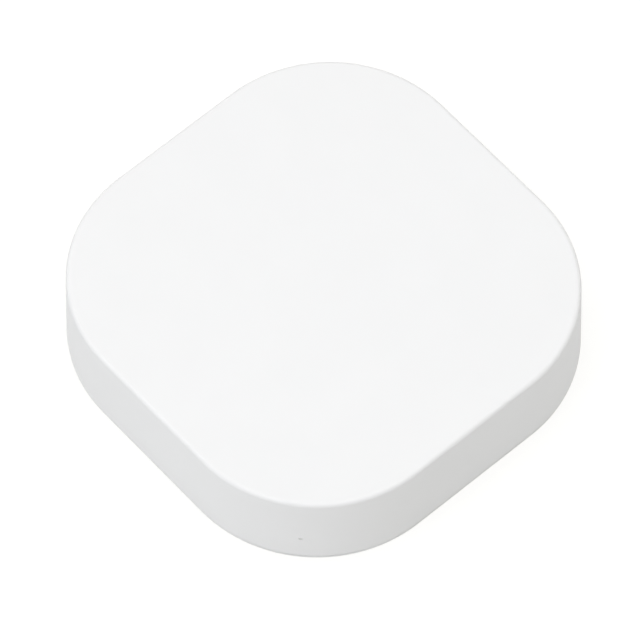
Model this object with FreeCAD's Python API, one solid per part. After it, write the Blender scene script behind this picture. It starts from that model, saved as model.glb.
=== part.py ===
"""Smart home hub: a low, rounded-square table or wall unit with its own mains supply and backup battery.

Millimetres. +Z is up, the table is at z = 0 and the Z axis runs through the middle of the case.
+Y is the back, where the sockets are. The status light is at the front right corner (+X, -Y).

From the table up: rubber feet, the slide-on mounting bracket, the base cover that carries the boards and
the battery, and the top shell, which is held down by four screws through the base cover. The bracket's raised
middle stands inside the shell's skirt, and slides back to come off.
"""

import FreeCAD
import Part

import math
import os

V = FreeCAD.Vector
UP = V(0, 0, 1)
BACK = V(0, 1, 0)

# ---- Case ---------------------------------------------------------------------------------------
side = 163.0  # over the walls at the shell's lower edge, both ways
height = 37.0  # table to top face
corner_radius = 54.5  # plan radius of the corners at the shell's lower edge
draft_angle = 1.4  # degrees that the walls lean inwards
top_edge_radius = 1.7
lip_chamfer = 0.2  # on the shell's lower edge and the bracket's lower edge
wall = 2.2
roof = 2.4
rib_width = 1.2
rib_depth = 1.6
gusset_height = 8.0  # webs from the bosses to the walls
nest_gap = 0.2  # round the base cover, inside the shell

# ---- Layers under the electronics -----------------------------------------------------------------
foot_proud = 0.3  # feet below the bracket
rim_thickness = 0.9  # bracket under the shell's edge
bracket_thickness = 2.4  # bracket's raised middle
rim_inset = 0.1  # bracket's edge behind the shell's
seam = 0.3  # between bracket and shell
slide_gap = 0.5  # between bracket and base cover
skirt_gap = 0.6  # raised middle to the shell's skirt
base_thickness = 2.0
rim_height = 1.8
rim_wall = 1.6
standoff = 4.6  # base cover to boards

# ---- Boards ---------------------------------------------------------------------------------------
board_thickness = 1.6
board_margin = 2.0  # inner wall to board edge
board_gap = 2.0  # between the two boards
supply_front = 4.0  # front edge of the power board

# ---- Screws ---------------------------------------------------------------------------------------
thread_gap = 0.05  # shank to pilot hole; the shanks are plain
case_screw_radius = 1.5
case_screw_length = 12.0
case_head_radius = 2.8
case_head_height = 2.0
board_screw_radius = 1.1
board_screw_length = 6.0
board_head_radius = 2.2
board_head_height = 1.4
screw_seat = 1.6  # plastic under a case screw's head
boss_radius = 3.5
boss_inset = 10.0  # case screw axis to the corner's inner wall
boss_side_inset = 36.6  # case screw axis to the side wall
post_radius = 2.8
notch_gap = 1.1  # board to boss

# ---- Sockets on the back --------------------------------------------------------------------------
port_gap = 3.5
port_margin = 1.6
plate_recess = 0.6  # plate behind the outer wall
plate_fit = 0.15
flange_wall = 1.0
flange_lip = 1.0
socket_setback = 0.3
socket_gap = 0.25
inlet_width = 20.0
inlet_height = 13.0
inlet_depth = 17.0
inlet_cavity_depth = 12.5
inlet_lobe_radius = 4.3
inlet_pin_radius = 1.2
inlet_pin_pitch = 8.6
inlet_pin_setback = 2.5
jack_width = 16.0
jack_height = 13.4
jack_depth = 21.3
jack_cavity_width = 11.8
jack_cavity_height = 7.2
jack_cavity_floor = 3.6
jack_cavity_depth = 12.6
jack_latch_width = 6.2
jack_latch_drop = 2.0
jack_lamp_width = 2.6
jack_lamp_height = 1.6
contact_count = 8
contact_pitch = 1.02
contact_width = 0.45

# ---- SIM tray -------------------------------------------------------------------------------------
sim_face_width = 15.5
sim_face_height = 3.0
sim_face_depth = 1.6
sim_card_width = 12.0
sim_card_length = 15.0
sim_card_thickness = 0.76
sim_tray_width = 13.2
sim_tray_thickness = 1.1
sim_tray_reach = 20.0
sim_cage_height = 1.9
sim_cage_sheet = 0.25
sim_gap = 0.15

# ---- Power button ---------------------------------------------------------------------------------
button_radius = 3.2
button_gap = 0.2
button_proud = 0.3
button_travel = 0.7
button_height = 5.0  # axis above the board
button_collar = 0.7
button_collar_depth = 0.8
button_stem_radius = 1.4
button_stem_length = 1.0
switch_width = 7.0
switch_height = 7.2
switch_depth = 3.6
switch_plunger_radius = 1.6
switch_plunger_out = 1.0
touch = 0.05  # pieces that just touch

# ---- Mounting bracket -----------------------------------------------------------------------------
bracket_travel = 10.0  # slide towards the back that frees the bracket
lug_side_inset = 45.5  # lugs' middle to the side walls
lug_front_inset = 24.5
lug_back_inset = 39.0
lug_neck_width = 3.0
lug_head_width = 7.6
lug_length = 6.0
lug_head_height = 1.4
lug_gap = 0.3
pocket_wall = 0.8
wall_hole_radius = 2.25
wall_hole_spacing_x = 108.0
wall_hole_spacing_y = 60.0
countersink_radius = 4.2
countersink_depth = 1.0
foot_radius = 6.0
foot_inset = 28.5  # feet's middle to the walls
foot_recess = 0.8
under_recess = 0.4  # middle of the bracket's underside
under_margin = 7.0
tongue_width = 13.0
tongue_length = 18.0
tongue_inset = 16.0  # tongue's tip to the front wall
tongue_slit = 1.0
tongue_bump = 0.3
tongue_bump_radius = 6.0
tie_slot_length = 5.0
tie_slot_width = 1.8
tie_slot_pitch = 6.0
tie_slot_inset = 20.0

# ---- Rating label and vents -----------------------------------------------------------------------
label_width = 48.0
label_depth = 32.0
label_x = -8.0
label_y = -30.0
label_recess = 0.25
vent_count = 7
vent_pitch = 5.0
vent_width = 2.0
vent_length = 22.0

# ---- Tamper switch --------------------------------------------------------------------------------
tamper_x = 26.0
tamper_y = -20.0
tamper_rod_radius = 1.5
tamper_stem_radius = 0.9
tamper_collar_radius = 2.4
tamper_collar_height = 0.8
tamper_drop_per_mm = 0.12  # plunger drop for each millimetre that the bracket slides
tamper_tube_wall = 1.1
tamper_switch_side = 6.0
tamper_switch_height = 0.9
spring_wire = 0.35
spring_turns = 3.5

# ---- Status light ---------------------------------------------------------------------------------
light_pipe_radius = 0.7
light_hole_gap = 0.05
light_recess = 0.12
light_height = 2.2  # axis above the board
light_bearing = 47.4  # degrees from the side walls' normal towards the front
lamp_depth = 1.2
lamp_width = 2.0
lamp_height = 2.9
light_collar_radius = 1.6
light_collar_depth = 1.0

# ---- Antennas -------------------------------------------------------------------------------------
antenna_length = 44.0
antenna_height = 10.0
antenna_thickness = 0.8
antenna_drop = 1.8  # roof to antenna
antenna_gap = 0.15
antenna_tab_height = 2.5
rail_width = 3.0
coax_radius = 0.6
coax_bend = 3.0
right_lead_y = -16.5

# ---- Main board's parts ---------------------------------------------------------------------------
processor_side = 15.0
processor_height = 1.3
pad_thickness = 0.8
sink_side = 30.0
sink_height = 7.5
sink_base = 1.6
sink_fins = 8
sink_fin = 1.1
memory_size = (10.0, 12.0, 1.0)
cellular_size = (24.0, 20.0, 2.6)
wifi_size = (18.0, 12.0, 2.2)
radio_size = (26.0, 20.0, 2.8)
battery_socket_size = (5.0, 8.0, 5.5)

# ---- Power board's parts --------------------------------------------------------------------------
headroom = 3.4  # roof to the tallest part
transformer_size = (22.0, 16.0)
core_overlap = 1.6
bulk_radius = 5.7
bulk_length = 18.0
bulk_pitch = 12.6
output_radius = 4.0
output_height = 12.0
choke_size = (14.0, 12.0, 13.0)
fuse_radius = 2.6
fuse_length = 15.0
cap_sleeve = 0.25
line_cap_size = (6.0, 13.0, 11.0)
link_size = (8.0, 10.0, 6.0)
barrier_thickness = 0.5

# ---- Battery --------------------------------------------------------------------------------------
battery_thickness = 11.0
battery_depth = 45.5
battery_end_gap = 5.0  # battery to main board's side of the tray
battery_back_gap = 9.0  # power board to battery
tray_thickness = 1.1
tray_lip = 5.0
lead_radius = 0.75

# ---- Levels and lines worked out from the sizes above ----------------------------------------------
lean = math.tan(math.radians(draft_angle))
corner_centre = side / 2 - corner_radius
z_bracket = foot_proud
z_rim_top = z_bracket + rim_thickness
z_bracket_top = z_bracket + bracket_thickness
z_shell = z_rim_top + seam
z_base = z_bracket_top + slide_gap
z_base_top = z_base + base_thickness
z_board = z_base_top + standoff
z_board_top = z_board + board_thickness
z_roof = height - roof
z_head_seat = z_base + case_head_height + 0.3
z_boss = z_head_seat + screw_seat

flange_inset = wall + touch
board_inset = wall + touch + flange_wall + board_margin - 1.0
ports_width = inlet_width + jack_width + sim_face_width + 2 * port_gap
inlet_x = -ports_width / 2 + inlet_width / 2
jack_x = inlet_x + inlet_width / 2 + port_gap + jack_width / 2
sim_x = jack_x + jack_width / 2 + port_gap + sim_face_width / 2
split_x = inlet_x + inlet_width / 2 + port_gap / 2
z_sim = z_board - sim_cage_height / 2
z_button = z_board_top + button_height
z_ports_top = z_board_top + max(jack_height, inlet_height) + socket_gap
z_plate_low = z_sim - sim_face_height / 2 - sim_gap - port_margin
z_plate_high = z_ports_top + port_margin
plate_half_width = ports_width / 2 + socket_gap + port_margin
z_light = z_board_top + light_height
z_antenna = z_roof - antenna_drop - antenna_height
foot_offset = side / 2 - foot_inset
lug_x = side / 2 - lug_side_inset
lug_front = lug_front_inset - side / 2
lug_back = side / 2 - lug_back_inset
battery_back = supply_front - battery_back_gap
battery_front = battery_back - battery_depth
lead_y = (battery_back + battery_front) / 2 + 4.0


def half_at(z, inset=0.0):
    """Half the case's width at a height, moved in from the outer wall."""
    return side / 2 - lean * (z - z_shell) - inset


def radius_at(z, inset=0.0):
    """The case's corner radius at a height, moved in from the outer wall."""
    return corner_radius - lean * (z - z_shell) - inset


def reach(along, z, inset=0.0):
    """How far the case's outline reaches from the middle plane, at a distance along it."""
    past = abs(along) - corner_centre
    if past <= 0:
        return half_at(z, inset)
    return corner_centre + math.sqrt(radius_at(z, inset) ** 2 - past**2)


socket_face = reach(ports_width / 2, z_ports_top, plate_recess) - socket_setback
supply_half = half_at(z_board_top, board_inset)
tray_screw_x = -0.945 * supply_half
supply_width = supply_half + split_x - board_gap / 2
supply_depth = supply_half - supply_front
inlet_back = socket_face - inlet_depth
link_y = supply_front + 0.3 * supply_depth


# ---- Plain shapes ---------------------------------------------------------------------------------
def box(x0, x1, y0, y1, z0, z1):
    return Part.makeBox(x1 - x0, y1 - y0, z1 - z0, V(x0, y0, z0))


def block(x, y, z0, size):
    """Box of size (width, depth, height) centred on x, y and standing on z0."""
    return box(x - size[0] / 2, x + size[0] / 2, y - size[1] / 2, y + size[1] / 2, z0, z0 + size[2])


def disc(x, y, z0, z1, radius):
    return Part.makeCylinder(radius, z1 - z0, V(x, y, z0))


def rod(start, end, radius):
    return Part.makeCylinder(radius, (end - start).Length, start, end - start)


def rounded_face(a0, a1, b0, b1, radius, place):
    """Flat rectangle with round corners; place turns its two coordinates into a point."""
    k = radius * (1 - math.sqrt(0.5))
    middles = [(a0 + k, b0 + k), (a1 - k, b0 + k), (a1 - k, b1 - k), (a0 + k, b1 - k)]
    starts = [(a0, b0 + radius), (a1 - radius, b0), (a1, b1 - radius), (a0 + radius, b1)]
    ends = [(a0 + radius, b0), (a1, b0 + radius), (a1 - radius, b1), (a0, b1 - radius)]
    edges = []
    for i in range(4):
        edges.append(Part.Arc(place(*starts[i]), place(*middles[i]), place(*ends[i])).toShape())
        edges.append(Part.makeLine(place(*ends[i]), place(*starts[(i + 1) % 4])))
    return Part.Face(Part.Wire(edges))


def slab(x0, x1, y0, y1, z0, z1, radius):
    """Plate with round corners in plan."""
    return rounded_face(x0, x1, y0, y1, radius, lambda a, b: V(a, b, z0)).extrude(V(0, 0, z1 - z0))


def panel(x0, x1, z0, z1, y0, y1, radius):
    """Plate with round corners seen from the back."""
    return rounded_face(x0, x1, z0, z1, radius, lambda a, b: V(a, y0, b)).extrude(V(0, y1 - y0, 0))


def prism(points, sweep):
    return Part.Face(Part.makePolygon(points + points[:1])).extrude(sweep)


def join(first, others):
    return first.multiFuse(others).removeSplitter()


def edges_at(shape, z):
    """Edges of a shape that lie in a level plane."""
    return [e for e in shape.Edges if abs(e.BoundBox.ZMin - z) < 1e-4 and abs(e.BoundBox.ZMax - z) < 1e-4]


def leaning_block(z0, z1, inset=0.0):
    """Block with the case's outline, moved in by inset, leaning as the walls do."""
    low, high, c = half_at(z0, inset), half_at(z1, inset), corner_centre
    across_x = prism([V(-low, -c, z0), V(low, -c, z0), V(high, -c, z1), V(-high, -c, z1)], V(0, 2 * c, 0))
    across_y = prism([V(-c, -low, z0), V(-c, low, z0), V(-c, high, z1), V(-c, -high, z1)], V(2 * c, 0, 0))
    corners = [
        Part.makeCone(radius_at(z0, inset), radius_at(z1, inset), z1 - z0, V(sx * c, sy * c, z0))
        for sx in (-1, 1)
        for sy in (-1, 1)
    ]
    return join(across_x, [across_y] + corners)


def upright_block(z0, z1, level, inset):
    """Block with the case's outline at one level, moved in by inset, and upright sides."""
    half, radius = half_at(level, inset), radius_at(level, inset)
    return slab(-half, half, -half, half, z0, z1, radius)


def pan_screw(radius, length, head_radius, head_height):
    """Plain-shank screw: the head hangs below the origin and the shank stands up from it."""
    head = Part.makeCylinder(head_radius, head_height, V(0, 0, -head_height))
    head = head.makeFillet(0.45 * head_height, edges_at(head, -head_height))
    arm = 0.62 * head_radius
    for turn in (0, 90):
        arm_box = box(-arm, arm, -0.13 * head_radius, 0.13 * head_radius, -head_height, -0.45 * head_height)
        head = head.cut(arm_box.rotate(V(), UP, turn))
    tip = 0.7 * radius
    shank = Part.makeCylinder(radius, length - tip, V())
    point = Part.makeCone(radius, 0.4 * radius, tip, V(0, 0, length - tip))
    return join(head, [shank, point])


def tube_along(points, radius, bend):
    """Round lead through the points, with an arc of the bend radius at each inner point."""
    edges = []
    at = points[0]
    for before, corner, after in zip(points, points[1:], points[2:]):
        into = (corner - before).normalize()
        out = (after - corner).normalize()
        turn = into.getAngle(out)
        cut = bend * math.tan(turn / 2)
        start, end = corner - into * cut, corner + out * cut
        to_centre = (out - into).normalize() * (bend / math.cos(turn / 2))
        middle = corner + to_centre - (out - into).normalize() * bend
        edges.append(Part.makeLine(at, start))
        edges.append(Part.Arc(start, middle, end).toShape())
        at = end
    edges.append(Part.makeLine(at, points[-1]))
    section = Part.Wire([Part.makeCircle(radius, points[0], points[1] - points[0])])
    return Part.Wire(edges).makePipeShell([section], True, False)


# ---- Places of fasteners --------------------------------------------------------------------------
def boss_places():
    """Axes of the four case screws, inside the corners and off their diagonals."""
    x = side / 2 - boss_side_inset
    y = reach(x, z_shell, wall + boss_inset)
    return [(sx * x, sy * y) for sx in (-1, 1) for sy in (-1, 1)]


def beside_boss(sx, sy):
    """Place for a board screw just inside a case boss."""
    x, y = boss_places()[3]
    return sx * x, sy * (y - boss_radius - notch_gap - post_radius - 1.2)


def main_board_places():
    left = split_x + board_gap / 2 + post_radius + 1.0
    return [(left, 0.53 * supply_half), (left, -0.84 * supply_half), (0.9 * supply_half, 0.24 * supply_half),
            beside_boss(1, -1), beside_boss(1, 1)]


def power_board_places():
    right = split_x - board_gap / 2 - post_radius - 1.0
    return [(right, supply_front + post_radius + 0.6), (-0.93 * supply_half, 0.36 * supply_half),
            beside_boss(-1, 1)]


def tray_places():
    right = split_x - board_gap / 2 - post_radius - 1.0
    return [(right, -0.88 * supply_half), (tray_screw_x, -0.1 * supply_half)]


def lug_places():
    return [(sx * lug_x, y) for sx in (-1, 1) for y in (lug_front, lug_back)]


def corner_point(distance, z):
    """Point on the status light's line, at a distance from the front right corner's centre."""
    turn = math.radians(light_bearing)
    return V(corner_centre + distance * math.cos(turn), -corner_centre - distance * math.sin(turn), z)


def boss_notches(z0, z1):
    """Room round the case bosses, open to the front and back walls."""
    r = boss_radius + notch_gap
    found = []
    for x, y in boss_places():
        outer = math.copysign(side, y)
        found.append(disc(x, y, z0, z1, r))
        found.append(box(x - r, x + r, min(y, outer), max(y, outer), z0, z1))
    return found


# ---- Case mouldings -------------------------------------------------------------------------------
def plate_window(grow, y0, y1):
    """Opening for the port plate in the back wall, made larger all round by grow."""
    return panel(-plate_half_width - grow, plate_half_width + grow, z_plate_low - grow, z_plate_high + grow,
                 y0, y1, 2.0)


def antenna_wall():
    """The side wall's inner face where the antennas' rails stand."""
    return reach(antenna_length / 2 + rail_width, z_roof, wall)


def antenna_rails(sign):
    """Grooved rails under the roof that hold an antenna's two ends."""
    wall_x = antenna_wall()
    x0 = wall_x - rail_width
    slot0 = wall_x - antenna_gap - antenna_thickness - 2 * antenna_gap
    rails = []
    for end in (-1, 1):
        y = end * antenna_length / 2
        rail = box(x0, wall_x + 0.6, y - rail_width / 2, y + rail_width / 2, z_antenna - 1.0, z_roof + 0.5)
        inner = y - end * (rail_width / 2)
        groove_end = y + end * antenna_gap
        groove = box(slot0, slot0 + antenna_thickness + 2 * antenna_gap, min(inner, groove_end) - touch,
                     max(inner, groove_end), z_antenna - 2.0, z_roof - antenna_drop + antenna_gap)
        rails.append(rail.cut(groove))
    return [r if sign > 0 else r.mirror(V(), V(1, 0, 0)) for r in rails]


def top_shell():
    outer = leaning_block(z_shell, height)
    outer = outer.makeFillet(top_edge_radius, edges_at(outer, height))
    outer = outer.makeChamfer(lip_chamfer, edges_at(outer, z_shell))
    cavity = leaning_block(z_shell - 1.0, z_roof, wall)
    shell = outer.cut(cavity)
    inside = leaning_block(z_roof - rib_depth, z_roof + 0.5, wall - 0.3)
    c = corner_centre
    lines = [box(-side, side, y - rib_width / 2, y + rib_width / 2, z_roof - rib_depth, z_roof + 0.5)
             for y in (-c, c)]
    lines += [box(x - rib_width / 2, x + rib_width / 2, -side, side, z_roof - rib_depth, z_roof + 0.5)
              for x in (-c, c)]
    added = [line.common(inside) for line in lines]
    for x, y in boss_places():
        added.append(disc(x, y, z_boss + touch, z_roof + 0.5, boss_radius))
        outward = math.copysign(reach(x, z_roof, wall - 0.3), y)
        added.append(box(x - rib_width / 2, x + rib_width / 2, min(y, outward), max(y, outward),
                         z_roof - gusset_height, z_roof + 0.5))
    added += antenna_rails(1) + antenna_rails(-1)
    shell = join(shell, added)
    pilot = case_screw_length - screw_seat + 1.0
    for x, y in boss_places():
        shell = shell.cut(disc(x, y, z_boss, z_boss + pilot, case_screw_radius + thread_gap))
    inner_wall = reach(plate_half_width + plate_fit, z_plate_high, wall)
    shell = shell.cut(plate_window(plate_fit, inner_wall - 1.0, side))
    start = corner_point(radius_at(z_light, wall + 2.0), z_light)
    end = corner_point(corner_radius + 5.0, z_light)
    return shell.cut(rod(start, end, light_pipe_radius + light_hole_gap))


def lug_pocket(x, y):
    """Covered T-slot that a bracket lug slides in: its cover, the room in it and the way through the base."""
    head = lug_head_width / 2 + lug_gap
    neck = lug_neck_width / 2 + lug_gap
    y0 = y - lug_length / 2 - lug_gap
    y1 = y + bracket_travel + lug_length / 2 + lug_gap
    entry = y1 - lug_length - 2 * lug_gap
    top = z_base_top + lug_head_height + 2 * lug_gap
    cover = box(x - head - pocket_wall, x + head + pocket_wall, y0 - pocket_wall, y1 + pocket_wall,
                z_base_top, top + pocket_wall)
    room = box(x - head, x + head, y0, y1, z_base_top, top)
    way = join(box(x - neck, x + neck, y0, y1, z_base - 1.0, z_base_top),
               [box(x - head, x + head, entry, y1, z_base - 1.0, z_base_top)])
    return cover, room, way


def base_cover():
    plate = leaning_block(z_base, z_base_top, wall + nest_gap)
    rim = leaning_block(z_base_top - 0.5, z_base_top + rim_height, wall + nest_gap)
    rim = rim.cut(leaning_block(z_base_top - 1.0, z_base_top + rim_height + 1.0, wall + nest_gap + rim_wall))
    port_room = box(-plate_half_width - flange_lip - 0.5, plate_half_width + flange_lip + 0.5,
                    half_at(z_base_top, board_inset + 2.0), side, z_base_top, z_board)
    rim = rim.cut(port_room)
    added = [rim]
    for x, y in boss_places():
        added.append(disc(x, y, z_base_top - 0.5, z_boss, case_head_radius + 2.0))
    for x, y in main_board_places() + power_board_places() + tray_places():
        added.append(disc(x, y, z_base_top - 0.5, z_board, post_radius))
    pockets = [lug_pocket(x, y) for x, y in lug_places()]
    added += [cover for cover, _, _ in pockets]
    tube_radius = tamper_collar_radius + lug_gap + tamper_tube_wall
    tube_top = z_board - tamper_switch_height - 0.6
    added.append(disc(tamper_x, tamper_y, z_base_top - 0.5, tube_top, tube_radius))
    cover = join(plate, added)
    cuts = []
    for x, y in boss_places():
        cuts.append(disc(x, y, z_base - 1.0, z_head_seat, case_head_radius + 0.4))
        cuts.append(disc(x, y, z_base - 1.0, z_boss + 1.0, case_screw_radius + nest_gap))
    depth = board_screw_length - board_thickness + 0.8
    for x, y in main_board_places() + power_board_places() + tray_places():
        cuts.append(disc(x, y, z_board - depth, z_board + 1.0, board_screw_radius + thread_gap))
    for _, room, way in pockets:
        cuts += [room, way]
    cuts.append(disc(tamper_x, tamper_y, z_base_top, z_board, tamper_collar_radius + lug_gap))
    cuts.append(disc(tamper_x, tamper_y, z_base - 1.0, z_base_top + 1.0, tamper_rod_radius + nest_gap))
    cuts += vent_slots()
    cuts.append(label_area(0.0, z_base - 1.0, z_base + label_recess))
    return cover.cut(cuts)


def vent_slots():
    """Row of slots under the power board."""
    x, y = supply_spot(0.17, 0.26)
    y0, y1 = y - vent_length / 2, y + vent_length / 2
    x0 = x - (vent_count - 1) * vent_pitch / 2
    return [slab(x0 + i * vent_pitch - vent_width / 2, x0 + i * vent_pitch + vent_width / 2, y0, y1,
                 z_base - 1.0, z_base_top + 1.0, 0.45 * vent_width) for i in range(vent_count)]


def label_area(shrink, z0, z1):
    """Block of the rating label's plan, made smaller all round by shrink."""
    x0, x1 = label_x - label_width / 2 + shrink, label_x + label_width / 2 - shrink
    y0, y1 = label_y - label_depth / 2 + shrink, label_y + label_depth / 2 - shrink
    return slab(x0, x1, y0, y1, z0, z1, 1.5)


def rating_label():
    """Blank rating label in its recess under the base cover."""
    return label_area(0.15, z_base + touch, z_base + label_recess - touch)


def ramp_groove():
    """Groove in the bracket whose sloping floor lets the tamper plunger drop as the bracket slides back."""
    half = tamper_rod_radius + lug_gap
    y0 = tamper_y
    y1 = tamper_y - bracket_travel - tamper_rod_radius - lug_gap
    drop = tamper_drop_per_mm * (y0 - y1)
    z = z_bracket_top
    outline = [V(tamper_x - half, y0, z), V(tamper_x - half, y1, z - drop), V(tamper_x - half, y1, z + 1.0),
               V(tamper_x - half, y0, z + 1.0)]
    return prism(outline, V(2 * half, 0, 0))


def sliding_room(z0, z1, inset):
    """Block of the case's outline moved in by inset that stays within it over the bracket's travel."""
    room = leaning_block(z0, z1, inset)
    return room.common(room.translated(V(0, -bracket_travel, 0)))


def mounting_bracket():
    plate = leaning_block(z_bracket, z_rim_top, rim_inset)
    plate = plate.makeChamfer(lip_chamfer, edges_at(plate, z_bracket))
    plate = join(plate, [sliding_room(z_bracket + 0.1, z_bracket_top, wall + skirt_gap)])
    cuts = [sliding_room(z_bracket - 1.0, z_bracket + under_recess, under_margin), ramp_groove()]
    for sx in (-1, 1):
        for sy in (-1, 1):
            x, y = sx * wall_hole_spacing_x / 2, sy * wall_hole_spacing_y / 2
            cuts.append(disc(x, y, z_bracket - 1.0, z_bracket_top + 1.0, wall_hole_radius))
            cuts.append(Part.makeCone(wall_hole_radius, countersink_radius, countersink_depth,
                                      V(x, y, z_bracket_top - countersink_depth)))
            fx, fy = sx * foot_offset, sy * foot_offset
            cuts.append(disc(fx, fy, z_bracket - 1.0, z_bracket + foot_recess, foot_radius + nest_gap))
    cuts += tongue_slits()
    cuts += tamper_tab_slits()
    for sx in (-1, 1):
        x = sx * 0.5 * corner_centre
        for step in (-0.5, 0.5):
            y = side / 2 - tie_slot_inset + step * tie_slot_pitch
            cuts.append(slab(x - tie_slot_length / 2, x + tie_slot_length / 2, y - tie_slot_width / 2,
                             y + tie_slot_width / 2, z_bracket - 1.0, z_bracket_top + 1.0,
                             0.4 * tie_slot_width))
    plate = plate.cut(cuts)
    added = []
    z_head = z_base_top + lug_gap
    for x, y in lug_places():
        neck_size = (lug_neck_width, lug_length, z_head - z_bracket_top + 0.7)
        added.append(block(x, y, z_bracket_top - 0.5, neck_size))
        head = block(x, y, z_head, (lug_head_width, lug_length, lug_head_height))
        added.append(head.makeChamfer(0.4, edges_at(head, z_head + lug_head_height)))
    half = 0.3 * tongue_width
    middle = V(0, tongue_inset + 2.5 - side / 2, z_bracket_top + tongue_bump - tongue_bump_radius)
    bump = rod(middle + V(-half, 0, 0), middle + V(half, 0, 0), tongue_bump_radius)
    keep = box(-half, half, -side, side, z_bracket_top - 0.3, z_bracket_top + 1.0)
    added.append(bump.common(keep))
    return join(plate, added)


def tongue_slits():
    """U-shaped slit that frees the latch tongue at the front of the bracket."""
    y0 = tongue_inset - side / 2
    y1 = y0 + tongue_length
    w, s = tongue_width / 2, tongue_slit
    z0, z1 = z_bracket - 1.0, z_bracket_top + 1.0
    return [box(-w - s, w + s, y0 - s, y0, z0, z1), box(-w - s, -w, y0 - s, y1, z0, z1),
            box(w, w + s, y0 - s, y1, z0, z1)]


def tamper_tab_slits():
    """Arc slits round the patch of bracket that the tamper plunger rests on, so that it breaks off if the
    bracket is levered away from a wall."""
    radius, width, links = 17.0, 1.2, 4
    y = tamper_y - bracket_travel / 2
    z0, z1 = z_bracket - 1.0, z_bracket_top + 1.0
    ring = disc(tamper_x, y, z0, z1, radius).cut(disc(tamper_x, y, z0, z1, radius - width))
    for i in range(links):
        link = box(0, radius + 5.0, -1.2, 1.2, z0, z1)
        link.rotate(V(), UP, 45 + 360 / links * i)
        link.translate(V(tamper_x, y, 0))
        ring = ring.cut(link)
    return ring.Solids


def rubber_feet():
    feet = []
    for sx in (-1, 1):
        for sy in (-1, 1):
            foot = disc(sx * foot_offset, sy * foot_offset, 0, z_bracket + foot_recess - touch, foot_radius)
            feet.append(foot.makeFillet(0.4, edges_at(foot, 0)))
    return Part.makeCompound(feet)


def case_screws():
    screws = []
    for x, y in boss_places():
        screw = pan_screw(case_screw_radius, case_screw_length, case_head_radius, case_head_height)
        screws.append(screw.translate(V(x, y, z_head_seat - touch)))
    return Part.makeCompound(screws)


def board_screws():
    screws = []
    for x, y in main_board_places() + power_board_places():
        screw = pan_screw(board_screw_radius, board_screw_length, board_head_radius, board_head_height)
        screw.rotate(V(), V(1, 0, 0), 180)
        screws.append(screw.translate(V(x, y, z_board_top + touch)))
    for x, y in tray_places():
        screw = pan_screw(board_screw_radius, board_screw_length, board_head_radius, board_head_height)
        screw.rotate(V(), V(1, 0, 0), 180)
        screws.append(screw.translate(V(x, y, z_board + tray_thickness + touch)))
    return Part.makeCompound(screws)


def rear_port_plate():
    """Plate in the back wall's window: it follows the wall, with a flange inside and the socket openings."""
    y_in = half_at(z_plate_high, flange_inset + flange_wall) - 12.0
    skin = leaning_block(z_plate_low, z_plate_high, plate_recess)
    skin = skin.cut(leaning_block(z_plate_low - 1.0, z_plate_high + 1.0, flange_inset + 0.5))
    plug = skin.common(plate_window(0.0, y_in, side))
    z0, z1 = z_plate_low, z_plate_high + flange_lip
    sheet = leaning_block(z0, z1, flange_inset)
    sheet = sheet.cut(leaning_block(z0 - 1.0, z1 + 1.0, flange_inset + flange_wall))
    half = plate_half_width + flange_lip
    flange = sheet.common(box(-half, half, y_in, side, z0, z1))
    plate = join(plug, [flange])
    g = socket_gap
    z = z_board_top
    cuts = [
        panel(inlet_x - inlet_width / 2 - g, inlet_x + inlet_width / 2 + g, z - g, z + inlet_height + g,
              y_in, side, 1.0),
        panel(jack_x - jack_width / 2 - g, jack_x + jack_width / 2 + g, z - g, z + jack_height + g,
              y_in, side, 0.5),
        panel(sim_x - sim_face_width / 2 - sim_gap, sim_x + sim_face_width / 2 + sim_gap,
              z_sim - sim_face_height / 2 - sim_gap, z_sim + sim_face_height / 2 + sim_gap, y_in, side, 1.2),
        rod(V(sim_x, y_in, z_button), V(sim_x, side, z_button), button_radius + button_gap),
    ]
    return plate.cut(cuts)


# ---- Sockets --------------------------------------------------------------------------------------
def mains_inlet():
    """Two-pin figure-of-eight inlet."""
    z_mid = z_board_top + inlet_height / 2
    body = panel(inlet_x - inlet_width / 2, inlet_x + inlet_width / 2, z_board_top + touch,
                 z_board_top + inlet_height, inlet_back, socket_face, 0.8)
    floor = socket_face - inlet_cavity_depth
    a = inlet_pin_pitch / 2
    lobes = [rod(V(inlet_x + s * a, floor, z_mid), V(inlet_x + s * a, side, z_mid), inlet_lobe_radius)
             for s in (-1, 1)]
    b = 0.8 * inlet_lobe_radius
    waist = box(inlet_x - a, inlet_x + a, floor, side, z_mid - b, z_mid + b)
    cuts = lobes + [waist]
    for s in (-1, 1):
        cuts.append(rod(V(inlet_x + s * a, inlet_back - 1.0, z_mid), V(inlet_x + s * a, side, z_mid),
                        inlet_pin_radius + 0.02))
    body = body.cut(cuts)
    ears = [block(inlet_x + s * (inlet_width / 2 - 1.5), inlet_back - 0.9, z_board_top + touch,
                  (3.0, 2.0, 5.0)) for s in (-1, 1)]
    return join(body, ears)


def inlet_pins():
    z_mid = z_board_top + inlet_height / 2
    pins = []
    for s in (-1, 1):
        x = inlet_x + s * inlet_pin_pitch / 2
        tip = V(x, socket_face - inlet_pin_setback, z_mid)
        pin = rod(V(x, inlet_back - 3.0, z_mid), tip, inlet_pin_radius)
        pin = pin.makeFillet(0.6, [e for e in pin.Edges if abs(e.CenterOfMass.y - tip.y) < 1e-6 and e.Closed])
        tail_height = z_mid - inlet_pin_radius - 2 * touch - z_board_top
        pins += [pin, block(x, inlet_back - 2.0, z_board_top + touch, (1.0, 1.0, tail_height))]
    return Part.makeCompound(pins)


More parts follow.
